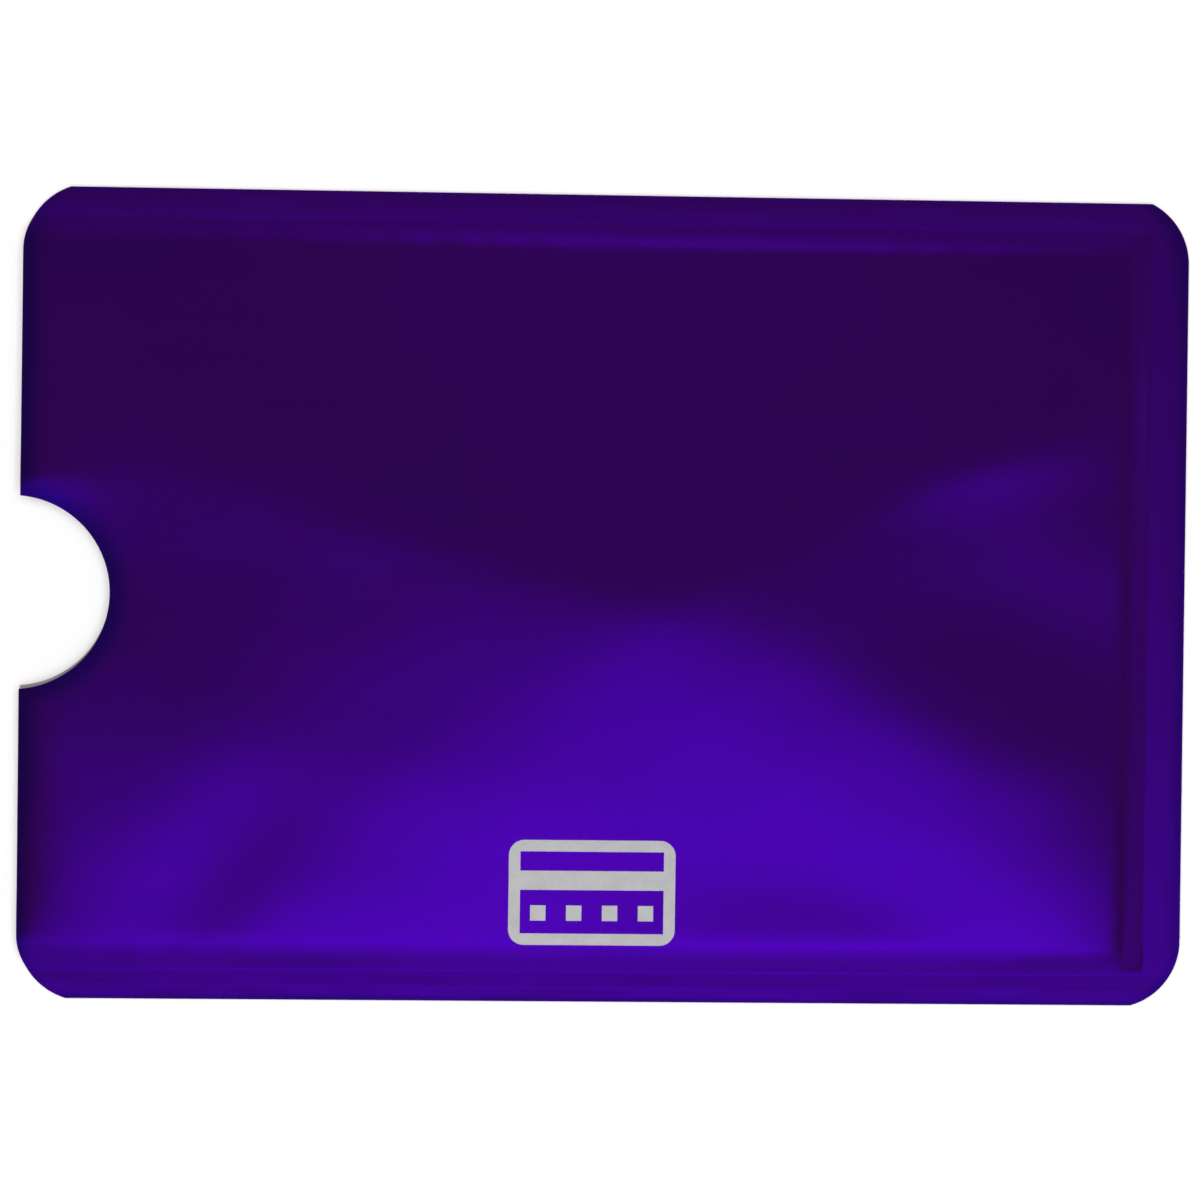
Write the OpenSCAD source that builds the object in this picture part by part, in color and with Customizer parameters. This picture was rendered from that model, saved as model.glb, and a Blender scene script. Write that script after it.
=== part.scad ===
// Card sleeve of laminated metal film: two walls, heat sealed along three
// edges, with an open mouth at -X and a thumb notch in both walls there.
// It lies on its back wall. The origin is the middle of the underside, +X runs
// towards the sealed end and +Z is up, through the printed front wall.

/* [Sleeve] */
// Length, from the open mouth to the sealed end
sleeve_l = 91; // [90.2:0.1:96]
// Width, over the two side seals
sleeve_w = 63; // [62.5:0.1:68]
// Radius of the corner punch
corner_r = 5.3; // [3:0.1:7]
// How far the corner punch bites past the long edges, which leaves a slight point there
corner_bite = 0.35; // [0.05:0.05:0.8]

/* [Thumb notch] */
// Radius of the notch
notch_r = 7.5; // [5:0.1:11]
// Distance of the notch's centre outside the mouth edge
notch_outset = 0.55; // [0.05:0.05:3]
// Sideways slip between the notches of the front and back walls
notch_slip = 0.25; // [0:0.05:0.6]

/* [Heat seals] */
// Width of the pressed flat of each side seal
side_seal_w = 2.4; // [1.5:0.1:2.6]
// Width of the sloping margin inside each side seal
side_slope_w = 1.8; // [1:0.1:2]
// Width of the pressed flat of the end seal
end_seal_w = 3; // [1.5:0.1:3.5]
// Width of the sloping margin inside the end seal
end_slope_w = 1.5; // [0.8:0.1:1.8]
// How far the softened lining of a seal reaches past the margin's fold line
seal_lap = 0.5; // [0.3:0.1:1]

/* [Pocket] */
// Clear height at the pocket's rim, which lets in a card 0.76 thick
pocket_gap = 0.85; // [0.8:0.01:1.4]
// Rise of the front wall's arc across the pocket, above the rim
cross_rise = 0.65; // [0.2:0.05:0.65]
// Height of its arc along the pocket above the rim, at the mouth and at the end fold
long_lift = 0.2; // [0.1:0.05:0.5]
// Rise of that long arc above those two ends
long_rise = 0.75; // [0.5:0.05:1.4]

/* [Laminate] */
// Thickness of the tinted outer film
film_t = 0.05; // [0.03:0.005:0.1]
// Thickness of the aluminium shielding foil
foil_t = 0.03; // [0.02:0.005:0.08]
// Thickness of the heat-sealing lining
lining_t = 0.08; // [0.05:0.005:0.15]

/* [Printed mark] */
// Length of the printed card pictogram
mark_l = 13; // [9:0.1:16]
// Height of the pictogram
mark_w = 8.2; // [6:0.1:10]
// Width of its frame line
mark_line = 0.9; // [0.5:0.05:1.2]
// Outer corner radius of its frame
mark_corner_r = 1.2; // [1:0.1:1.6]
// Width of the stripe across it
mark_stripe = 1.5; // [0.8:0.1:1.8]
// Side of each block in its lower row
mark_block = 1.2; // [0.8:0.1:1.6]
// Number of blocks in the row
mark_blocks = 4; // [2:1:4]
// Distance of its middle from the mouth edge
mark_from_mouth = 44.6; // [30:0.1:60]
// Bare strip between the pictogram and the lower side seal's slope
mark_margin = 0.3; // [0.1:0.1:3]
// Thickness of the printed ink
ink_t = 0.02; // [0.01:0.005:0.03]

/* [Hidden] */

// Fineness of the small arcs, and of the very wide ones of the crown
arc_fn = 96;
crown_fn = 720;
// Reach of a cutting solid past what it cuts
over = 1;

// Heights of the layers' undersides, from the floor up. In the seals the two
// linings are melted into one, so the front foil starts two linings up.
z_back_foil = film_t;
z_back_lining = z_back_foil + foil_t;
z_front_lining = z_back_lining + lining_t;
z_front_foil = z_front_lining + lining_t;
z_front_film = z_front_foil + foil_t;
z_ink = z_front_film + film_t;

mouth_x = -sleeve_l / 2;
end_x = sleeve_l / 2;
side_y = sleeve_w / 2;

// Inner edges of the pressed flats
seam_x = end_x - end_seal_w;
seam_y = side_y - side_seal_w;
// Fold lines, where the sloping margins reach the height of the pocket's rim
fold_x = seam_x - end_slope_w;
fold_y = seam_y - side_slope_w;
// Edges of the front lining's free panel, where the seals' strips begin
panel_x = fold_x - seal_lap;
panel_y = fold_y - seal_lap;

// Height above every arc, where the cutting sections are closed
clear_z = pocket_gap + long_lift + long_rise + over;

mark_x = mouth_x + mark_from_mouth;
mark_y = mark_margin + mark_w / 2 - fold_y;
mark_inner_l = mark_l - 2 * mark_line;
mark_inner_w = mark_w - 2 * mark_line;

// The die-cut shape of one wall. slip moves its notch along the mouth.
module wall_outline(slip = 0) {
    corner_x = end_x - corner_r;
    corner_y = side_y + corner_bite - corner_r;
    difference() {
        square([sleeve_l, sleeve_w], center = true);
        for (sx = [-1, 1], sy = [-1, 1])
            difference() {
                translate([sx * (corner_x + corner_r), sy * (corner_y + corner_r)])
                    square(2 * corner_r, center = true);
                translate([sx * corner_x, sy * corner_y])
                    circle(r = corner_r, $fn = arc_fn);
            }
        translate([mouth_x - notch_outset, slip])
            circle(r = notch_r, $fn = arc_fn);
    }
}

// Plan of the pocket, inside the pressed flats
module pocket_plan() {
    translate([mouth_x - over, -seam_y])
        square([seam_x - mouth_x + over, 2 * seam_y]);
}

// Plan of the front lining's free panel
module panel_plan() {
    translate([mouth_x - over, -panel_y])
        square([panel_x - mouth_x + over, 2 * panel_y]);
}

// A disc under an arc of the crown. The arc is base high at both ends of
// 2 * half and stands rise above that in its middle.
module arc_disc(half, base, rise) {
    r = (half * half + rise * rise) / (2 * rise);
    translate([0, base + rise - r])
        circle(r = r, $fn = crown_fn);
}

// Section across the pocket: an arc between the sloping margins of the side seals
module across_profile() {
    top_y = seam_y - side_slope_w * clear_z / pocket_gap;
    intersection() {
        arc_disc(fold_y, pocket_gap, cross_rise);
        polygon([[-seam_y, 0], [seam_y, 0], [top_y, clear_z], [-top_y, clear_z]]);
    }
}

// Section along the pocket: an arc that runs out over the mouth and ends in the
// sloping margin of the end seal
module along_profile() {
    top_x = seam_x - end_slope_w * clear_z / pocket_gap;
    out_x = mouth_x - 2 * over;
    intersection() {
        translate([(mouth_x + fold_x) / 2, 0])
            arc_disc((fold_x - mouth_x) / 2, pocket_gap + long_lift, long_rise);
        polygon([[out_x, 0], [seam_x, 0], [top_x, clear_z], [out_x, clear_z]]);
    }
}

// The space under the front wall, from the seal's height up: the two sections
// cross and keep what both hold, so the crown is hipped at the mouth and the end
module pocket_hill() {
    intersection() {
        rotate([90, 0, 90])
            linear_extrude(height = sleeve_l + 4 * over, center = true)
                across_profile();
        rotate([90, 0, 0])
            linear_extrude(height = sleeve_w, center = true)
                along_profile();
    }
}

// A layer of the front wall, flat in the seals and arched over the pocket, and
// cut to the plan that is given as its children
module front_layer(z, t) {
    intersection() {
        difference() {
            union() {
                translate([-end_x - over, -side_y - over, z])
                    cube([sleeve_l + 2 * over, sleeve_w + 2 * over, t]);
                translate([0, 0, z + t])
                    pocket_hill();
            }
            translate([0, 0, z])
                pocket_hill();
        }
        linear_extrude(height = z + clear_z)
            children();
    }
}

// A layer of the flat back wall, cut to the plan that is given as its children
module back_layer(z, t) {
    translate([0, 0, z])
        linear_extrude(height = t)
            children();
}

module front_film() {
    color("indigo")
        front_layer(z_front_film, film_t)
            wall_outline();
}

module front_foil() {
    color("silver")
        front_layer(z_front_foil, foil_t)
            wall_outline();
}

module front_lining() {
    color("gainsboro")
        front_layer(z_front_lining, lining_t)
            intersection() {
                wall_outline();
                panel_plan();
            }
}

// A heat seal over the plan that is given as its children: the front lining's
// margin, and the back lining melted onto it in the pressed flat
module seal() {
    front_layer(z_front_lining, lining_t)
        intersection() {
            wall_outline();
            children();
        }
    back_layer(z_back_lining, lining_t)
        difference() {
            intersection() {
                wall_outline();
                children();
            }
            pocket_plan();
        }
}

// Plan of a side seal, side = 1 or -1, which takes in both of its corners
module side_seal_plan(side) {
    mirror([0, (1 - side) / 2])
        translate([-end_x - over, panel_y])
            square([sleeve_l + 2 * over, side_y - panel_y + over]);
}

module upper_side_seal() {
    color("lightgray")
        seal()
            side_seal_plan(1);
}

module lower_side_seal() {
    color("lightgray")
        seal()
            side_seal_plan(-1);
}

// The end seal lies between the side seals
module end_seal() {
    color("lightgray")
        seal()
            translate([panel_x, -panel_y])
                square([end_x - panel_x + over, 2 * panel_y]);
}

module back_lining() {
    color("gainsboro")
        back_layer(z_back_lining, lining_t)
            intersection() {
                wall_outline(notch_slip);
                pocket_plan();
            }
}

module back_foil() {
    color("silver")
        back_layer(z_back_foil, foil_t)
            wall_outline(notch_slip);
}

module back_film() {
    color("indigo")
        back_layer(0, film_t)
            wall_outline(notch_slip);
}

// A rectangle with rounded corners, around the origin
module rounded_rectangle(length, width, r) {
    square([length - 2 * r, width], center = true);
    square([length, width - 2 * r], center = true);
    for (sx = [-1, 1], sy = [-1, 1])
        translate([sx * (length / 2 - r), sy * (width / 2 - r)])
            circle(r = r, $fn = arc_fn);
}

// Plain pictogram of a card: a rounded frame, a stripe and a row of blocks
module mark_plan() {
    row_pitch = mark_inner_l / mark_blocks;
    row_y = -mark_inner_w / 4;
    difference() {
        rounded_rectangle(mark_l, mark_w, mark_corner_r);
        square([mark_inner_l, mark_inner_w], center = true);
    }
    translate([-mark_l / 2 + mark_line / 2, mark_inner_w / 2 - 2 * mark_stripe])
        square([mark_l - mark_line, mark_stripe]);
    for (i = [0 : mark_blocks - 1])
        translate([(i - (mark_blocks - 1) / 2) * row_pitch, row_y])
            square(mark_block, center = true);
}

module printed_card_mark() {
    color("silver")
        front_layer(z_ink, ink_t)
            translate([mark_x, mark_y])
                mark_plan();
}

front_film();
front_foil();
front_lining();
upper_side_seal();
lower_side_seal();
end_seal();
back_lining();
back_foil();
back_film();
printed_card_mark();
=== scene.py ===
import math

import bpy
import numpy as np
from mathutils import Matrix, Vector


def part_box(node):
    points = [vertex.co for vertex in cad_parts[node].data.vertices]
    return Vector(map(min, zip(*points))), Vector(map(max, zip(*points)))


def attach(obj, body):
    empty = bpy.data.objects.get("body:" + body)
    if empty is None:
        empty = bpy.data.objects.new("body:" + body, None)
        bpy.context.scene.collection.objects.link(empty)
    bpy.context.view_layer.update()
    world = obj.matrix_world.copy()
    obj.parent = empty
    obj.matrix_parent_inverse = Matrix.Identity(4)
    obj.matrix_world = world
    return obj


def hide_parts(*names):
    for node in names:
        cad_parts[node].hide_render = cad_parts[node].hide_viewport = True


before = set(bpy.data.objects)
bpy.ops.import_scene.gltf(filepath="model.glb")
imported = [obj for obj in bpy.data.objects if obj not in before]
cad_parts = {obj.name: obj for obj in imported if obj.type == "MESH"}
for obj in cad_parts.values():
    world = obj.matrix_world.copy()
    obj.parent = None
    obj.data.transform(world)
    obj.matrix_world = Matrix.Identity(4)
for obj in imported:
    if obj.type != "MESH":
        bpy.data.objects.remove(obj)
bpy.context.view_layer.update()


# The camera looks straight down from about 31 cm, a little left of the sleeve's
# middle. Its square frame holds the whole sleeve with a narrow pale margin.
# Its place is in metres and its turn in degrees.
CAMERA_PLACE = (-0.01526, 0.00330, 0.31235)
CAMERA_TURN = (-0.655, -2.701, 0.701)
LENS = 120
SENSOR = 36
CLIP_START = 0.01
CLIP_END = 20

camera_data = bpy.data.cameras.new("camera")
camera_data.sensor_fit = "HORIZONTAL"
camera_data.sensor_width = SENSOR
camera_data.lens = LENS
camera_data.clip_start = CLIP_START
camera_data.clip_end = CLIP_END
camera = bpy.data.objects.new("camera", camera_data)
camera.location = CAMERA_PLACE
camera.rotation_euler = [math.radians(degrees) for degrees in CAMERA_TURN]
bpy.context.scene.collection.objects.link(camera)
bpy.context.scene.camera = camera
bpy.context.scene.view_settings.view_transform = "Standard"


# The studio is a dim warm room, a little paler low down and on its right. One wide
# soft panel of light hangs on the near side, and a weak one stands far off behind.
# The room is the world's own light, and the metallised film mirrors it.
CEILING = (0.335, 0.168, 0.152)
WALLS = (0.37, 0.21, 0.19)
RIGHT_WALL = (0.5, 0.34, 0.31)
NEAR_PANEL = (1.09, 1.07, 1.13)
FAR_PANEL = (0.85, 0.68, 0.65)
BACKDROP = (0.95, 0.95, 0.95)

# How high a direction points, from 0 at the horizon to 1 straight up: from where to
# where the lights come up, the ceiling turns to walls, and mirrors see the backdrop
LIGHTS_HEIGHT = (0.0, 0.1)
WALLS_HEIGHT = (0.92, 0.55)
BACKDROP_HEIGHT = (0.03, 0.0)
# A direction lower than this is reckoned as this high
LEAST_HEIGHT = 0.05

# Soft edges of the lights on a plane one metre up, in metres to the back or to the
# right: where the light has ended, and where it is full
NEAR_FRONT = (-5.0, -0.65)
NEAR_BACK = (-0.03, -0.13)
NEAR_LEFT = (-0.2, -0.03)
NEAR_RIGHT = (0.31, 0.17)
FAR_FRONT = (0.3, 0.9)
FAR_BACK = (2.4, 1.8)
FAR_LEFT = (0.0, 0.07)
FAR_RIGHT = (0.2, 0.11)
GLOW_FRONT = (0.06, 0.13)
GLOW_LEFT = (-0.01, 0.05)
GLOW_RIGHT = (0.12, 0.06)
WALL_LEFT = (0.4, 1.1)
WALL_BACK = (-0.04, -0.24)
GLOW_SHARE = 0.12
# The near panel dims from one place to another, from one share to another
NEAR_DIMMING = (-0.65, -0.2, 0.76, 1.0)
# How much wider the near panel grows with each metre towards the front
NEAR_SPREAD = 0.35


class Signal:
    """A shader socket that takes part in Python sums; each sum adds its Math node."""

    def __init__(self, tree, socket):
        self.tree = tree
        self.socket = socket

    def math(self, operation, *values):
        return self.tree.node("ShaderNodeMath", {"operation": operation}, dict(enumerate(values)))

    def __add__(self, other):
        return self.math("ADD", self, other)

    def __sub__(self, other):
        return self.math("SUBTRACT", self, other)

    def __mul__(self, other):
        return self.math("MULTIPLY", self, other)

    def __truediv__(self, other):
        return self.math("DIVIDE", self, other)

    def __rsub__(self, other):
        return self.math("SUBTRACT", other, self)

    def __rtruediv__(self, other):
        return self.math("DIVIDE", other, self)

    __radd__ = __add__
    __rmul__ = __mul__

    def ramp(self, low, high, out_low=0.0, out_high=1.0):
        """Eases from out_low to out_high as the value goes from low to high."""
        return self.tree.node(
            "ShaderNodeMapRange",
            {"interpolation_type": "SMOOTHSTEP"},
            {"Value": self, "From Min": low, "From Max": high, "To Min": out_low, "To Max": out_high},
        )

    def band(self, first, second):
        """1 between two soft edges, each from where it is 0 to where it is 1."""
        return self.ramp(*first) * self.ramp(*second)


class Tree:
    """The node tree of a material or of the world."""

    def __init__(self, owner):
        owner.use_nodes = True
        self.nodes = owner.node_tree.nodes
        self.links = owner.node_tree.links
        self.nodes.clear()

    def node(self, kind, settings, inputs, output=0):
        """Adds a node, sets its settings, then its sockets, and returns one output."""
        made = self.nodes.new(kind)
        for name, value in settings.items():
            setattr(made, name, value)
        for key, value in inputs.items():
            socket = made.inputs[key]
            if isinstance(value, Signal):
                self.links.new(value.socket, socket)
            elif isinstance(value, tuple) and len(value) == 3 and socket.type == "RGBA":
                socket.default_value = (*value, 1)
            else:
                socket.default_value = value
        return Signal(self, made.outputs[output] if made.outputs else None)

    def mix(self, factor, first, second):
        """Mixes two colours."""
        return self.node(
            "ShaderNodeMix",
            {"data_type": "RGBA"},
            {"Factor": factor, 6: first, 7: second},
            output=2,
        )

    def ray(self, kind):
        """1 for a ray of this kind, and 0 for any other."""
        return self.node("ShaderNodeLightPath", {}, {}, kind)


world = bpy.data.worlds.new("studio")
bpy.context.scene.world = world
room = Tree(world)
toward = room.node("ShaderNodeTexCoord", {}, {}, "Generated")
toward_x = room.node("ShaderNodeSeparateXYZ", {}, {0: toward}, "X")
toward_y = room.node("ShaderNodeSeparateXYZ", {}, {0: toward}, "Y")
toward_z = room.node("ShaderNodeSeparateXYZ", {}, {0: toward}, "Z")

# Where a direction meets the plane one metre up
height = toward_z.math("MAXIMUM", toward_z, LEAST_HEIGHT)
side = toward_x / height
back = toward_y / height
spread = side / (1.0 - back * NEAR_SPREAD)

above = toward_z.ramp(*LIGHTS_HEIGHT)
near_panel = back.band(NEAR_FRONT, NEAR_BACK) * back.ramp(*NEAR_DIMMING) * spread.band(NEAR_LEFT, NEAR_RIGHT)
far_panel = back.band(FAR_FRONT, FAR_BACK) * side.band(FAR_LEFT, FAR_RIGHT)
far_glow = back.ramp(*GLOW_FRONT) * side.band(GLOW_LEFT, GLOW_RIGHT)
right_wall = side.ramp(*WALL_LEFT) * back.ramp(*WALL_BACK)
room_colour = room.mix(toward_z.ramp(*WALLS_HEIGHT), CEILING, WALLS)
room_colour = room.mix(right_wall * above, room_colour, RIGHT_WALL)
room_colour = room.mix(far_glow * GLOW_SHARE, room_colour, FAR_PANEL)
room_colour = room.mix(far_panel * above, room_colour, FAR_PANEL)
room_colour = room.mix(near_panel * above, room_colour, NEAR_PANEL)

# The eye sees a pale backdrop all round, and mirrors see it close to the horizon
mirrored = room.ray("Is Glossy Ray") + room.ray("Is Transmission Ray")
seen = room.ray("Is Camera Ray") + mirrored * toward_z.ramp(*BACKDROP_HEIGHT)
room_colour = room.mix(seen, room_colour, BACKDROP)
room.node(
    "ShaderNodeOutputWorld",
    {},
    {"Surface": room.node("ShaderNodeBackground", {}, {"Color": room_colour, "Strength": 1.0})},
)


# A large soft lamp straight above fills the room for everything that isn't a
# mirror. It is hidden from glossy rays, as if behind a scrim.
FILL_SIZE = 2.4
FILL_POWER = 43.6
FILL_COLOUR = (0.87, 1.01, 1.03)
FILL_PLACE = (-0.1, -0.16, 2.0)

fill_data = bpy.data.lights.new("fill", "AREA")
fill_data.shape = "SQUARE"
fill_data.size = FILL_SIZE
fill_data.energy = FILL_POWER
fill_data.color = FILL_COLOUR
fill = bpy.data.objects.new("fill", fill_data)
fill.location = FILL_PLACE
fill.visible_glossy = False
bpy.context.scene.collection.objects.link(fill)


# The table top is plain white laminate, a little brighter to the eye than its
# own light makes it, so that it reads as white and keeps the sleeve's shadow.
# It lies a hair's breadth under the sleeve.
TABLE_HALF = 1.5
TABLE_GAP = 0.00001
TABLE_WHITE = (0.92, 0.92, 0.92)
TABLE_GLOW = 0.06

table_corners = [(sx * TABLE_HALF, sy * TABLE_HALF, 0) for sx, sy in ((-1, -1), (1, -1), (1, 1), (-1, 1))]
table_mesh = bpy.data.meshes.new("table")
table_mesh.from_pydata(table_corners, [], [(0, 1, 2, 3)])
table = bpy.data.objects.new("table", table_mesh)
table.location.z = -TABLE_GAP
bpy.context.scene.collection.objects.link(table)
table_finish = bpy.data.materials.new("table_white")
top = Tree(table_finish)
seen = top.ray("Is Camera Ray") + top.ray("Is Glossy Ray") + top.ray("Is Transmission Ray")
laminate = top.node("ShaderNodeBsdfDiffuse", {}, {"Color": TABLE_WHITE})
glow = top.node("ShaderNodeEmission", {}, {"Color": (1.0, 1.0, 1.0), "Strength": seen * TABLE_GLOW})
top.node(
    "ShaderNodeOutputMaterial",
    {},
    {"Surface": top.node("ShaderNodeAddShader", {}, {0: laminate, 1: glow})},
)
table_mesh.materials.append(table_finish)


# The outer film of the front wall is thin clear plastic, dyed violet and
# metallised. It is drawn tight over the pocket from seal to seal, so it stands
# in soft facets with creases between them. All sizes here are millimetres.
MM = 0.001


def node_box(node):
    """Lowest and highest corners of a CAD node."""
    return [[round(value / MM, 3) for value in corner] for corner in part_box(node)]


# The back film is flat and has the sleeve's whole outline. The back lining ends at
# the seams, and the front lining's free panel a little inside the seals' slopes.
HALF_LENGTH, HALF_WIDTH, FILM = node_box("back_film")[1]
SEAM_X, SEAM_Y = node_box("back_lining")[1][:2]
PANEL_X, PANEL_Y = node_box("front_lining")[1][:2]
FRONT_FILM_Z = node_box("front_film")[0][2]
FILM_TOP_Z = FRONT_FILM_Z + FILM

# Width of the slope inside each seal, and how softly it folds over into the wall.
# At the flanges every fold is tight.
END_SLOPE = 1.5
END_ROUNDING = 0.2
UPPER_SLOPE = 1.25
UPPER_ROUNDING = 0.5
LOWER_SLOPE = 1.7
LOWER_ROUNDING = 0.2
FLANGE_ROUNDING = 0.012
# Height of the pocket's rim, and how the wall sinks again towards the end seal
RIM_HEIGHT = 0.85
END_BEND = 10
END_BEND_SHARE = 0.1

# Facets of the tight film: height over the rim, slope along X, slope along Y
FACETS = [
    (0.73, 0.0, 0.028),
    (0.68, 0.0, -0.024),
    (0.65, 0.010, 0.012),
    (0.738, -0.0152, 0.010),
]
FACET_ROUNDING = 0.035
# Dents and bulges: x, y, length, width, direction in degrees, depth (a bulge is negative)
DENTS = [
    (31, 13, 30, 8.5, 13, -0.15),
    (34, -2, 26, 12, -17, 0.1),
    (34, -14, 26, 15, -32, -0.16),
    (31, -22, 20, 12, -60, -0.1),
    (-35, 4, 26, 24, 0, 0.22),
    (-22, 12, 30, 16, 0, -0.1),
    (13, -29, 30, 11, 0, -0.19),
    (-22, -29, 30, 18, 0, -0.18),
    (-34, -29, 44, 34, 0, -0.06),
    (-31, -22.5, 16, 9, 50, 0.1),
    (40, -26, 18, 17, 0, -0.19),
    (18, -6, 22, 10, -28, -0.05),
    (15, 3, 24, 9, 0, -0.04),
    (7, -1, 40, 10, -3, -0.04),
    (-9, -17, 20, 14, 0, -0.04),
    (21, -23, 14, 8, 0, 0.03),
    (-44.5, 9.8, 9, 6, -20, -0.12),
]

# Faint random waves: how far their crests turn, in degrees, and their lengths vary
WAVE_SEED = 11
WAVE_TURN = 12
WAVE_LENGTHS = (0.7, 1.5)
WALL_WAVE_HEIGHT = 0.003
# Puckers gather at some distance inside a seam, over some width
PUCKER_HEIGHT = 0.012
SIDE_PUCKERS = (1.1, 0.9)
END_PUCKERS = (0.9, 0.8)


def eased(t):
    """Goes smoothly from 0 to 1 as t does, and stays there outside."""
    t = np.clip(t, 0, 1)
    return t * t * (3 - 2 * t)


def soft_bend(distance, rounding):
    """0 up to the fold and the distance after it, with the fold rounded."""
    return rounding * np.logaddexp(0, distance / rounding)


def seam_slope(distance, width, rounding):
    """Goes from 0 to 1 over width. The fold at the flange is tight, the other one is rounded."""
    return (soft_bend(distance, FLANGE_ROUNDING) - soft_bend(distance - width, rounding)) / width


def soft_least(parts, rounding):
    """The lowest of the parts at each point, with rounded creases between them."""
    parts = np.stack(parts)
    least = parts.min(0)
    return least - rounding * np.log(np.exp((least - parts) / rounding).sum(0))


rng = np.random.default_rng(WAVE_SEED)


def waves(count, across, along, angle):
    """Random waves with crests near one direction, as tuples for ripple."""
    made = []
    for _ in range(count):
        turn = math.radians(angle + rng.normal(0, WAVE_TURN))
        pitch = across * rng.uniform(*WAVE_LENGTHS)
        wander = along * rng.uniform(*WAVE_LENGTHS)
        phases = rng.uniform(0, 2 * math.pi, 2)
        made.append((-math.sin(turn), math.cos(turn), pitch, wander, phases))
    return made


def ripple(x, y, trains):
    """The sum of the waves, about 1 high."""
    total = np.zeros(np.broadcast(x, y).shape)
    for ux, uy, pitch, wander, phases in trains:
        across = 2 * math.pi * (x * ux + y * uy) / pitch + phases[0]
        along = 2 * math.pi * (x * uy - y * ux) / wander + phases[1]
        total += np.cos(across) * np.cos(along)
    return total / math.sqrt(len(trains))


side_streaks = waves(count=5, across=2.6, along=22, angle=0)
end_streaks = waves(count=5, across=2.6, along=22, angle=90)
side_puckers = waves(count=6, across=4.5, along=60, angle=90)
end_puckers = waves(count=6, across=4.5, along=60, angle=0)
wall_waves = waves(count=6, across=11, along=23, angle=20)


def crown(x, y):
    """Height of the tight film over the pocket's rim."""
    made = soft_least([middle + sx * x + sy * y for middle, sx, sy in FACETS], FACET_ROUNDING)
    for cx, cy, length, width, angle, depth in DENTS:
        turn = math.radians(angle)
        along = (x - cx) * math.cos(turn) + (y - cy) * math.sin(turn)
        across = (y - cy) * math.cos(turn) - (x - cx) * math.sin(turn)
        made = made - depth * np.exp(-((2 * along / length) ** 2) - (2 * across / width) ** 2)
    return made + WALL_WAVE_HEIGHT * ripple(x, y, wall_waves)


# The mouth's cut edge rolls down into the pocket, all along its lower half and from
# LIP_START up on its upper half. It rolls less within LIP_FADE of a side seam.
LIP_DROP = 0.18
LIP_WIDTH = 1.5
LIP_START = 8.5
LIP_GROWTH = 3.5
LIP_FADE = 8


def lip_drop(x, y):
    """How far the wall is rolled down near the mouth."""
    drop = LIP_DROP * np.exp(-(x + HALF_LENGTH) / LIP_WIDTH)
    upper = eased((y - LIP_START) / LIP_GROWTH)
    return drop * np.where(y > 0, upper, 1) * eased((SEAM_Y - np.abs(y)) / LIP_FADE)


def puckers(x, y, trains, from_seam, distance, width):
    """Small gathers of the film along the slope inside a seam."""
    return ripple(x, y, trains) * np.exp(-(((from_seam - distance) / width) ** 2))


def pocket_rise(x, y):
    """Height of the front wall above its flanges."""
    from_side = SEAM_Y - np.abs(y)
    from_end = SEAM_X - x
    gathers = puckers(x, y, side_puckers, from_side, *SIDE_PUCKERS)
    gathers = gathers + puckers(x, y, end_puckers, from_end, *END_PUCKERS)
    bend = 1 - END_BEND_SHARE * (1 - from_end / END_BEND).clip(0, 1) ** 2
    upper = seam_slope(from_side, UPPER_SLOPE, UPPER_ROUNDING)
    lower = seam_slope(from_side, LOWER_SLOPE, LOWER_ROUNDING)
    slopes = np.where(y > 0, upper, lower) * seam_slope(from_end, END_SLOPE, END_ROUNDING) * bend
    return slopes * (RIM_HEIGHT + crown(x, y) - lip_drop(x, y)) + PUCKER_HEIGHT * slopes * gathers


# Ribs that the sealing jaws pressed into the flanges, with streaks that swing about
# a level of so many times their height. The ribs grow over RIB_RUN outside a seam.
RIB_PITCH = 0.6
RIB_HEIGHT = 0.0035
RIB_RUN = 1.6
STREAK_HEIGHT = 0.006
STREAK_LEVEL = 1.6
# In the corners the side seals' ribs lose this share of their height, and the end
# seal's ribs fade out from this far inside the side seam
CORNER_LOSS = 0.6
CORNER_RUN = 2
END_RIB_STOP = 1
END_RIB_RUN = 1.5


def jaw_marks(past_seam, streaks):
    """Ribs and streaks at a distance outside the seam, at or above zero."""
    rib = (1 + np.cos(2 * math.pi * past_seam / RIB_PITCH)) / 2
    return RIB_HEIGHT * rib + STREAK_HEIGHT * (STREAK_LEVEL + streaks).clip(0)


def ribs(x, y):
    """What the sealing jaws pressed into the flanges."""
    past_side = np.abs(y) - SEAM_Y
    past_end = x - SEAM_X
    side = eased(past_side / RIB_RUN) * (1 - CORNER_LOSS * eased(past_end / CORNER_RUN))
    end = eased(past_end / RIB_RUN) * (1 - eased((past_side + END_RIB_STOP) / END_RIB_RUN))
    side_marks = jaw_marks(past_side, ripple(x, y, side_streaks))
    end_marks = jaw_marks(past_end, ripple(x, y, end_streaks))
    return side * side_marks + end * end_marks


# The punches that cut the corners and the thumb notch. The corners aren't quite
# alike, so each end gives its upper and its lower centre.
CORNER_RADIUS = 5.3
CORNER_X = 40.2
MOUTH_CORNERS_Y = (26.49, 26.42)
END_CORNERS_Y = (26.76, 26.4)
NOTCH_RADIUS = 7.5
NOTCH_X = -46.05
# Half the notch's width at the mouth's edge
NOTCH_LIP = 7.479


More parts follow.
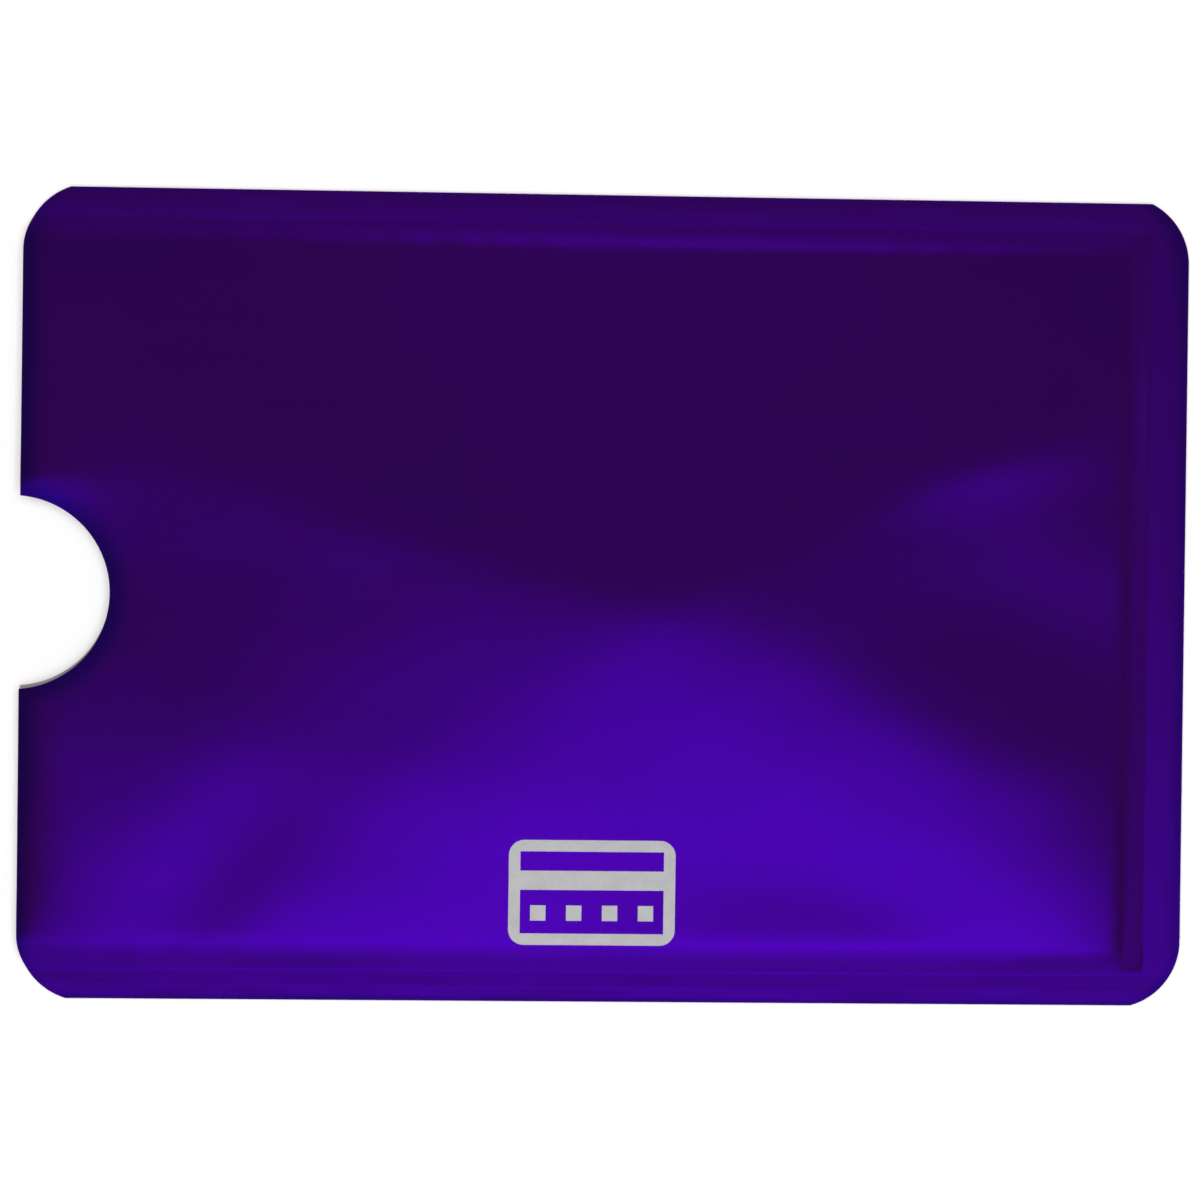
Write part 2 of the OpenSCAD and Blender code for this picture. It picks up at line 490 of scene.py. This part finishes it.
def edge_x(y, slip):
    """Left and right end of a wall at y. Its notch sits off the middle by slip."""
    ends = []
    for upper, lower in (MOUTH_CORNERS_Y, END_CORNERS_Y):
        past = (np.abs(y) - np.where(y > 0, upper, lower)).clip(0)
        ends.append(CORNER_X + np.sqrt(CORNER_RADIUS**2 - past**2))
    notch = NOTCH_X + np.sqrt((NOTCH_RADIUS**2 - (y - slip) ** 2).clip(0))
    return np.maximum(-ends[0], notch), ends[1]


# How far apart the mesh's lines are in the flanges, at their folds, on the slopes,
# over the pocket, along the mouth and beside the notch, and how wide such bands are
FLANGE_STEP = 0.15
FOLD_STEP = 0.03
FOLD_BAND = 0.045
SLOPE_STEP = 0.16
POCKET_STEP = 0.62
MOUTH_STEP = 0.3
MOUTH_BAND = 4
NOTCH_STEP = 0.4
NOTCH_BAND = 9.5
NOTCH_GAP = 0.02
NOTCH_ROWS = 49


def spaced(*stops):
    """Numbers from the first stop to the last.

    Each later stop comes with the distance between the numbers on the way to it.
    """
    made = [np.array([stops[0]])]
    start = stops[0]
    for end, step in stops[1:]:
        count = max(1, round(abs(end - start) / step))
        made.append(np.linspace(start, end, count + 1)[1:])
        start = end
    return np.concatenate(made)


def wall_rows(slip, loose=1.0):
    """Rows of a wall from its lower to its upper edge, close in the flanges and along the notch."""
    notch_turn = math.asin(NOTCH_LIP / NOTCH_RADIUS)
    notch = slip + NOTCH_RADIUS * np.sin(np.linspace(-1, 1, NOTCH_ROWS) * notch_turn)
    half = spaced(
        HALF_WIDTH,
        (SEAM_Y + FOLD_BAND, FLANGE_STEP),
        (SEAM_Y - FOLD_BAND, FOLD_STEP),
        (PANEL_Y, SLOPE_STEP),
        (NOTCH_BAND, POCKET_STEP * loose),
    )
    lower = spaced(-NOTCH_BAND, (notch[0] - NOTCH_GAP, NOTCH_STEP))
    upper = spaced(NOTCH_BAND, (notch[-1] + NOTCH_GAP, NOTCH_STEP))
    return np.concatenate([-half[:-1], lower, notch, upper[::-1], half[:-1][::-1]])


def wall_columns(loose=1.0):
    """Columns of a wall from the mouth to the sealed end."""
    return spaced(
        -HALF_LENGTH,
        (-HALF_LENGTH + MOUTH_BAND, MOUTH_STEP),
        (PANEL_X, POCKET_STEP * loose),
        (SEAM_X - FOLD_BAND, SLOPE_STEP),
        (SEAM_X + FOLD_BAND, FOLD_STEP),
        (HALF_LENGTH, FLANGE_STEP),
    )


# The outline pulls the mesh's columns with it, less and less over these lengths
MOUTH_PULL = 18
END_PULL = 9


def plan(rows, columns, slip=0.0):
    """Points of a wall's plan. Its ends follow the cut outline, and the shift dies out inwards."""
    y = rows[:, None]
    left, right = edge_x(y, slip)
    pull_left = (left + HALF_LENGTH) * (1 - eased((columns + HALF_LENGTH) / MOUTH_PULL))
    pull_right = (right - HALF_LENGTH) * eased((columns - HALF_LENGTH + END_PULL) / END_PULL)
    return columns + pull_left + pull_right, y + 0 * columns


# Faces that meet more steeply than this are shaded with an edge between them
SHARP_EDGE = math.radians(40)


def make_piece(name, points, faces, material):
    """Makes a smoothly shaded piece from points in millimetres."""
    mesh = bpy.data.meshes.new(name)
    mesh.from_pydata((points * MM).tolist(), [], faces)
    mesh.shade_smooth()
    mesh.set_sharp_from_angle(angle=SHARP_EDGE)
    mesh.materials.append(material)
    piece = bpy.data.objects.new(name, mesh)
    bpy.context.scene.collection.objects.link(piece)
    return piece


def lay(name, x, y, under, over, material):
    """Makes a closed sheet between two heights over one plan."""
    rows, width = x.shape
    top = np.arange(rows * width).reshape(rows, width)
    bottom = top + rows * width

    def corner(numbers, i, j):
        """The number of one corner's point for every face."""
        return numbers[i : rows - 1 + i, j : width - 1 + j].ravel()

    tops = [corner(top, 0, 0), corner(top, 0, 1), corner(top, 1, 1), corner(top, 1, 0)]
    bottoms = [corner(bottom, 0, 0), corner(bottom, 1, 0), corner(bottom, 1, 1), corner(bottom, 0, 1)]
    ring = np.concatenate([top[0, :-1], top[:-1, -1], top[-1, :0:-1], top[:0:-1, 0]])
    after = np.roll(ring, -1)
    sides = [after, ring, ring + rows * width, after + rows * width]
    points = [np.stack([x, y, height], -1).reshape(-1, 3) for height in (over, under)]
    faces = [np.stack(corners, -1) for corners in (tops, bottoms, sides)]
    return make_piece(name, np.concatenate(points), np.concatenate(faces).tolist(), material)


# The film's colour is painted navy along the cut edges, a painted shade of the rolled edge that is deepest
# along the mouth and the notch: how far that reaches in, and how strong it is.
# Four numbers are where along Y a value starts and ends to change, and from what to what.
MOUTH_RIM_WIDTH = (-12, -22, 1.35, 0.85)
MOUTH_RIM_SHARE = (27, 30, 0.95, 0.25)
END_RIM_WIDTH = (20, 28, 0.8, 1.4)
END_RIM_SHARE = (15, 25, 0.6, 0.75)
SIDE_RIM_WIDTH = 0.45
UPPER_RIM_SHARE = 0.25
LOWER_RIM_SHARE = 0.6
RIM_FALL = 2.5
# How far inside a seam the jaws' pressure starts, and over what length it grows
SIDE_PRESS = 2.3
SIDE_PRESS_RUN = 2.2
END_PRESS = 1.6
END_PRESS_RUN = 1.6


def changing(t, start, end, before, after):
    """Eases from one value to another as t goes from start to end."""
    return before + (after - before) * eased((t - start) / (end - start))


def rim_fade(distance, width):
    """Falls from 1 at the cut edge to 0 over about width."""
    return np.exp(-((distance.clip(0) / width) ** RIM_FALL))


def painted_edge_shade(x, y, slip):
    """How much painted shade turns the film navy, from 0 to 1 towards the cut edges; it reaches in furthest
    along the mouth and the notch.
    """
    left, right = edge_x(y, slip)
    notch = np.hypot(x - NOTCH_X, y - slip) - NOTCH_RADIUS
    mouth = rim_fade(np.minimum(x - left, notch), changing(y, *MOUTH_RIM_WIDTH))
    mouth = mouth * changing(np.abs(y), *MOUTH_RIM_SHARE)
    end = rim_fade(right - x, changing(y, *END_RIM_WIDTH)) * changing(y, *END_RIM_SHARE)
    side = rim_fade(HALF_WIDTH - np.abs(y), SIDE_RIM_WIDTH)
    side = side * np.where(y > 0, UPPER_RIM_SHARE, LOWER_RIM_SHARE)
    return np.stack([mouth, end, side]).max(0)


def jaw_pressure(x, y):
    """How hard the sealing jaws pressed the film, from 0 over the pocket to 1 in the flanges."""
    side = eased((np.abs(y) - SEAM_Y + SIDE_PRESS) / SIDE_PRESS_RUN)
    end = eased((x - SEAM_X + END_PRESS) / END_PRESS_RUN)
    return 1 - (1 - side) * (1 - end)


def note_edges(film, x, y, slip=0.0):
    """Keeps on each point of a film how much painted shade darkens it near a cut edge, and how hard the jaws
    pressed it.
    """
    for name, amount in (("rim", painted_edge_shade(x, y, slip)), ("pressed", jaw_pressure(x, y))):
        layer = film.data.attributes.new(name, "FLOAT", "POINT")
        layer.data.foreach_set("value", np.tile(amount.ravel(), 2).astype(np.float32))


# A noise of 0 to 1 makes patches between these two values
PATCH_EDGES = (0.3, 0.7)


def noise(tree, scale, detail=2, stretch=(1, 1, 1)):
    """Noise of 0 to 1 that stays with the piece; a stretch under 1 draws it out that way."""
    place = tree.node("ShaderNodeTexCoord", {}, {}, "Object")
    spot = tree.node("ShaderNodeVectorMath", {"operation": "MULTIPLY"}, {0: place, 1: stretch})
    return tree.node("ShaderNodeTexNoise", {}, {"Vector": spot, "Scale": scale, "Detail": detail})


def about_zero(noise_value, width):
    """Turns a noise of 0 to 1 into one of this width with zero in its middle."""
    return (noise_value - 0.5) * width


def surface(tree, colour, metallic, rough, relief, strength, depth):
    """A surface with a relief of this depth in millimetres."""
    bump = tree.node("ShaderNodeBump", {}, {"Strength": strength, "Distance": depth * MM, "Height": relief})
    return tree.node(
        "ShaderNodeBsdfPrincipled",
        {},
        {"Base Color": colour, "Metallic": metallic, "Roughness": rough, "Normal": bump},
    )


VIOLET = (0.073, 0.0001, 0.465)
VIOLET_DEEP = (0.067, 0.0001, 0.447)
# Painted shade: the navy that darkens the film towards its cut edges
NAVY_EDGE_SHADE = (0.022, 0.0008, 0.32)
FILM_ROUGHNESS = 0.14
PRESSED_ROUGHNESS = 0.12
DUST = (0.8, 0.8, 0.8)
DUST_SHARE = 0.0018
# Drawn out along the sleeve, the noise makes the faint lines of the film's rolling
FILM_STRETCH = (0.03, 1, 1)


def film_finish(name):
    """Violet metallised film: mirror-like, with faint rolling lines, grain, a little dust and painted navy
    shade along the cut edges.
    """
    material = bpy.data.materials.new(name)
    tree = Tree(material)
    cloud = noise(tree, scale=60)
    rolling = noise(tree, scale=500, stretch=FILM_STRETCH)
    grain = noise(tree, scale=2600)
    rim = tree.node("ShaderNodeAttribute", {"attribute_name": "rim"}, {}, "Fac")
    pressed = tree.node("ShaderNodeAttribute", {"attribute_name": "pressed"}, {}, "Fac")
    colour = tree.mix(cloud.ramp(*PATCH_EDGES), VIOLET, VIOLET_DEEP)
    # Painted shade: the colour turns navy towards the cut edges
    colour = tree.mix(rim, colour, NAVY_EDGE_SHADE)
    rough = FILM_ROUGHNESS + about_zero(grain, width=0.04) + about_zero(rolling, width=0.04)
    rough = rough + pressed * PRESSED_ROUGHNESS
    relief = rolling * 0.5 + grain * 0.35 + cloud * 0.6
    metal = surface(tree, colour, metallic=1.0, rough=rough, relief=relief, strength=0.5, depth=0.004)
    dust = tree.node("ShaderNodeBsdfDiffuse", {}, {"Color": DUST})
    film = tree.node("ShaderNodeMixShader", {}, {"Fac": DUST_SHARE, 1: metal, 2: dust})
    tree.node("ShaderNodeOutputMaterial", {}, {"Surface": film})
    return material


violet_film = film_finish("violet_film")
front_x, front_y = plan(wall_rows(0), wall_columns())
front_rise = pocket_rise(front_x, front_y) + ribs(front_x, front_y)
front_film = lay(
    "front_film_skin",
    front_x,
    front_y,
    FRONT_FILM_Z + front_rise,
    FILM_TOP_Z + front_rise,
    violet_film,
)
note_edges(front_film, front_x, front_y)
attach(front_film, "root")
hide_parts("front_film")


# The front wall's shielding foil is soft aluminium, bonded to the film's inner
# side. Only its cut edge shows, as a bright line round the mouth and the notch.
FRONT_FOIL_Z = node_box("front_foil")[0][2]
FOIL_PALE = (0.78, 0.79, 0.8)
FOIL_DEEP = (0.66, 0.67, 0.69)
FOIL_ROUGHNESS = 0.26
FOIL_UNEVENNESS = 0.12
FOIL_STRETCH = (0.04, 1, 1)
# Over the pocket, the hidden layers' mesh is this many times as wide as the film's
LOOSE = 2.0


def foil_finish(name):
    """Bare rolled aluminium."""
    material = bpy.data.materials.new(name)
    tree = Tree(material)
    rolling = noise(tree, scale=900, stretch=FOIL_STRETCH)
    colour = tree.mix(rolling.ramp(*PATCH_EDGES), FOIL_PALE, FOIL_DEEP)
    rough = FOIL_ROUGHNESS + rolling * FOIL_UNEVENNESS
    metal = surface(tree, colour, metallic=1.0, rough=rough, relief=rolling, strength=0.4, depth=0.004)
    tree.node("ShaderNodeOutputMaterial", {}, {"Surface": metal})
    return material


bare_foil = foil_finish("bare_foil")
inner_rows = wall_rows(0, LOOSE)
inner_columns = wall_columns(LOOSE)
inner_x, inner_y = plan(inner_rows, inner_columns)
inner_rise = pocket_rise(inner_x, inner_y) + ribs(inner_x, inner_y)
front_foil = lay(
    "front_foil_sheet",
    inner_x,
    inner_y,
    FRONT_FOIL_Z + inner_rise,
    FRONT_FILM_Z + inner_rise,
    bare_foil,
)
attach(front_foil, "root")
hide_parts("front_foil")


# The front lining is a milky heat-sealing plastic on the foil's inner side. Its
# free panel is the roof of the pocket; the foil shines through it. Without the
# pocket it would lie on the back lining.
FRONT_LINING_Z = node_box("back_lining")[1][2]
LINING_PALE = (0.42, 0.41, 0.44)
LINING_DEEP = (0.33, 0.33, 0.36)
LINING_SHINE = 0.25
LINING_ROUGHNESS = 0.42
# A row or column this near a limit lies on it
TOUCH = 1e-6


def lining_finish(name, pale, deep, shine):
    """Milky plastic, faintly mottled; some shine lets the foil's grey through."""
    material = bpy.data.materials.new(name)
    tree = Tree(material)
    mottle = noise(tree, scale=420, detail=4)
    grain = noise(tree, scale=3200)
    colour = tree.mix(mottle.ramp(*PATCH_EDGES), pale, deep)
    rough = LINING_ROUGHNESS + about_zero(grain, width=0.12)
    relief = mottle + grain * 0.5
    plastic = surface(tree, colour, metallic=shine, rough=rough, relief=relief, strength=0.5, depth=0.006)
    tree.node("ShaderNodeOutputMaterial", {}, {"Surface": plastic})
    return material


def within(values, low, high):
    """The rows or columns between two limits, both included."""
    return values[(values > low - TOUCH) & (values < high + TOUCH)]


milky_lining = lining_finish("milky_lining", LINING_PALE, LINING_DEEP, LINING_SHINE)
panel_rows = within(inner_rows, -PANEL_Y, PANEL_Y)
panel_columns = within(inner_columns, -HALF_LENGTH, PANEL_X)
panel_x, panel_y = plan(panel_rows, panel_columns)
panel_rise = pocket_rise(panel_x, panel_y)
front_lining = lay(
    "front_lining_panel",
    panel_x,
    panel_y,
    FRONT_LINING_Z + panel_rise,
    FRONT_FOIL_Z + panel_rise,
    milky_lining,
)
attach(front_lining, "root")
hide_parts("front_lining")


# The heat seals are the two linings melted into one strip along three edges.
# Inside its pressed flat, each strip keeps the front lining's sloping margin.
BACK_LINING_Z = node_box("back_lining")[0][2]
SEAL_PALE = (0.6, 0.6, 0.62)
SEAL_DEEP = (0.47, 0.47, 0.5)
melted_seal = lining_finish("melted_seal", SEAL_PALE, SEAL_DEEP, shine=0.0)


def seal_strip(name, node, rows, columns):
    """Makes one seal's strip in place of its CAD node."""
    x, y = plan(rows, columns)
    jaws = ribs(x, y)
    rise = pocket_rise(x, y) + jaws
    sloping = (np.abs(y) < SEAM_Y) & (x < SEAM_X)
    under = np.where(sloping, FRONT_LINING_Z + rise, BACK_LINING_Z + jaws)
    strip = lay(name, x, y, under, FRONT_FOIL_Z + rise, melted_seal)
    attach(strip, "root")
    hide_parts(node)


side_rows = within(inner_rows, PANEL_Y, HALF_WIDTH)
end_columns = within(inner_columns, PANEL_X, HALF_LENGTH)
seal_strip("upper_side_seal_strip", "upper_side_seal", side_rows, inner_columns)
seal_strip("lower_side_seal_strip", "lower_side_seal", -side_rows[::-1], inner_columns)
seal_strip("end_seal_strip", "end_seal", panel_rows, end_columns)


# The back wall lies flat on the table and is built like the front wall: lining,
# foil and dyed film. Its notch was cut a quarter of a millimetre off the other.
BACK_SLIP = 0.25

back_rows = wall_rows(BACK_SLIP, LOOSE)
floor_rows = within(back_rows, -SEAM_Y, SEAM_Y)
floor_columns = within(inner_columns, -HALF_LENGTH, SEAM_X)
floor_x, floor_y = plan(floor_rows, floor_columns, BACK_SLIP)
flat = 0 * floor_x
back_lining = lay(
    "back_lining_panel",
    floor_x,
    floor_y,
    BACK_LINING_Z + flat,
    FRONT_LINING_Z + flat,
    milky_lining,
)
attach(back_lining, "root")
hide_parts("back_lining")

base_x, base_y = plan(back_rows, inner_columns, BACK_SLIP)
base_rise = ribs(base_x, base_y)
back_foil = lay(
    "back_foil_sheet",
    base_x,
    base_y,
    FILM + base_rise,
    BACK_LINING_Z + base_rise,
    bare_foil,
)
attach(back_foil, "root")
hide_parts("back_foil")

back_film = lay("back_film_skin", base_x, base_y, base_rise, FILM + base_rise, violet_film)
note_edges(back_film, base_x, base_y, BACK_SLIP)
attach(back_film, "root")
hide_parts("back_film")


# The printed mark is one pass of silver-grey screen ink on the film: a plain
# pictogram of a card, with a rounded frame, a stripe and a row of blocks.
mark_low, mark_high = node_box("printed_card_mark")
MARK_X = round((mark_low[0] + mark_high[0]) / 2, 3)
MARK_Y = round((mark_low[1] + mark_high[1]) / 2, 3)
MARK_LENGTH = round(mark_high[0] - mark_low[0], 3)
MARK_WIDTH = round(mark_high[1] - mark_low[1], 3)
MARK_LINE = 0.9
MARK_CORNER = 1.2
# Lower and upper edge of the stripe, and middle of the blocks, from the mark's middle
STRIPE = (0.2, 1.7)
BLOCK_ROW = -1.6
BLOCK = 1.2
BLOCKS = 4
BLOCK_PITCH = 2.8
# How far the ink stands over the film, and how deep its underside lies in it
INK = 0.02
INK_SEAT = 0.01
# Fineness of the mark's mesh
INK_STEP = 0.25
CORNER_POINTS = 9
LINE_POINTS = 5
INK_PALE = (0.455, 0.47, 0.485)
INK_DEEP = (0.4, 0.42, 0.435)
FLAKE = (0.54, 0.55, 0.56)
FLAKE_SHARE = 0.3
INK_ROUGHNESS = 0.5
FLAKE_ROUGHNESS = 0.15


def ink_finish(name):
    """Matt silver-grey ink with a fine flake and a slightly uneven coat."""
    material = bpy.data.materials.new(name)
    tree = Tree(material)
    coat = noise(tree, scale=700, detail=4)
    place = tree.node("ShaderNodeTexCoord", {}, {}, "Object")
    cells = tree.node("ShaderNodeTexVoronoi", {}, {"Vector": place, "Scale": 9000}, "Color")
    flake = tree.node("ShaderNodeSeparateColor", {}, {0: cells}, "Red")
    colour = tree.mix(coat.ramp(*PATCH_EDGES), INK_PALE, INK_DEEP)
    colour = tree.mix(flake * FLAKE_SHARE, colour, FLAKE)
    rough = INK_ROUGHNESS + flake * FLAKE_ROUGHNESS
    relief = coat + flake * 0.4
    ink = surface(tree, colour, metallic=0.0, rough=rough, relief=relief, strength=0.6, depth=0.005)
    tree.node("ShaderNodeOutputMaterial", {}, {"Surface": ink})
    return material


def rounded_ring(length, width, radius):
    """Points round a rectangle with rounded corners, at most about INK_STEP apart."""
    points = []
    for turn in range(4):
        start = turn * math.pi / 2
        cx = (length / 2 - radius) * (1 if turn in (0, 3) else -1)
        cy = (width / 2 - radius) * (1 if turn in (0, 1) else -1)
        for k in range(CORNER_POINTS):
            angle = start + math.pi / 2 * k / (CORNER_POINTS - 1)
            points.append((cx + radius * math.cos(angle), cy + radius * math.sin(angle)))
    closed = points + points[:1]
    ring = []
    for (ax, ay), (bx, by) in zip(closed, closed[1:]):
        steps = max(1, round(math.hypot(bx - ax, by - ay) / INK_STEP))
        ring += [(ax + (bx - ax) * k / steps, ay + (by - ay) * k / steps) for k in range(steps)]
    return np.array(ring)


def patch(left, right, bottom, top):
    """A grid of points over a rectangle."""
    x, y = np.meshgrid(spaced(left, (right, INK_STEP)), spaced(bottom, (top, INK_STEP)))
    return np.stack([x, y], -1)


def printed(name, shapes, material):
    """Lays flat ink shapes on the film, joined into one piece.

    Each shape is a grid of points, and whether its rows close into rings.
    """
    points, faces = [], []
    for grid, closed in shapes:
        rows, width = grid.shape[:2]
        numbers = len(points) + np.arange(rows * width).reshape(rows, width)
        if closed:
            numbers = np.hstack([numbers, numbers[:, :1]])
        numbers = numbers.tolist()
        low = rows * width
        x, y = grid[..., 0] + MARK_X, grid[..., 1] + MARK_Y
        film = FILM_TOP_Z + pocket_rise(x, y)
        for z in (film + INK, film - INK_SEAT):
            points += np.stack([x, y, z], -1).reshape(-1, 3).tolist()
        for row, after in zip(numbers, numbers[1:]):
            for a, b, c, d in zip(row, row[1:], after[1:], after):
                faces += [(a, b, c, d), (a + low, d + low, c + low, b + low)]
        for a, b, c, d in zip(numbers[0], numbers[0][1:], numbers[-1][1:], numbers[-1]):
            faces += [(b, a, a + low, b + low), (d, c, c + low, d + low)]
        if not closed:
            for row, after in zip(numbers, numbers[1:]):
                a, b, c, d = row[0], after[0], after[-1], row[-1]
                faces += [(a, b, b + low, a + low), (c, d, d + low, c + low)]
    return make_piece(name, np.array(points), faces, material)


outer = rounded_ring(MARK_LENGTH, MARK_WIDTH, MARK_CORNER)
inner_half = np.array([MARK_LENGTH / 2 - MARK_LINE, MARK_WIDTH / 2 - MARK_LINE])
inner = np.clip(outer, -inner_half, inner_half)
card_frame = np.stack([inner + (outer - inner) * t for t in np.linspace(0, 1, LINE_POINTS)])[::-1]
ink_shapes = [(card_frame, True), (patch(-inner_half[0], inner_half[0], *STRIPE), False)]
for k in range(BLOCKS):
    left = (k - (BLOCKS - 1) / 2) * BLOCK_PITCH - BLOCK / 2
    bottom = BLOCK_ROW - BLOCK / 2
    ink_shapes.append((patch(left, left + BLOCK, bottom, BLOCK_ROW + BLOCK / 2), False))
mark = printed("card_mark_print", ink_shapes, ink_finish("silver_grey_ink"))
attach(mark, "root")
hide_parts("printed_card_mark")
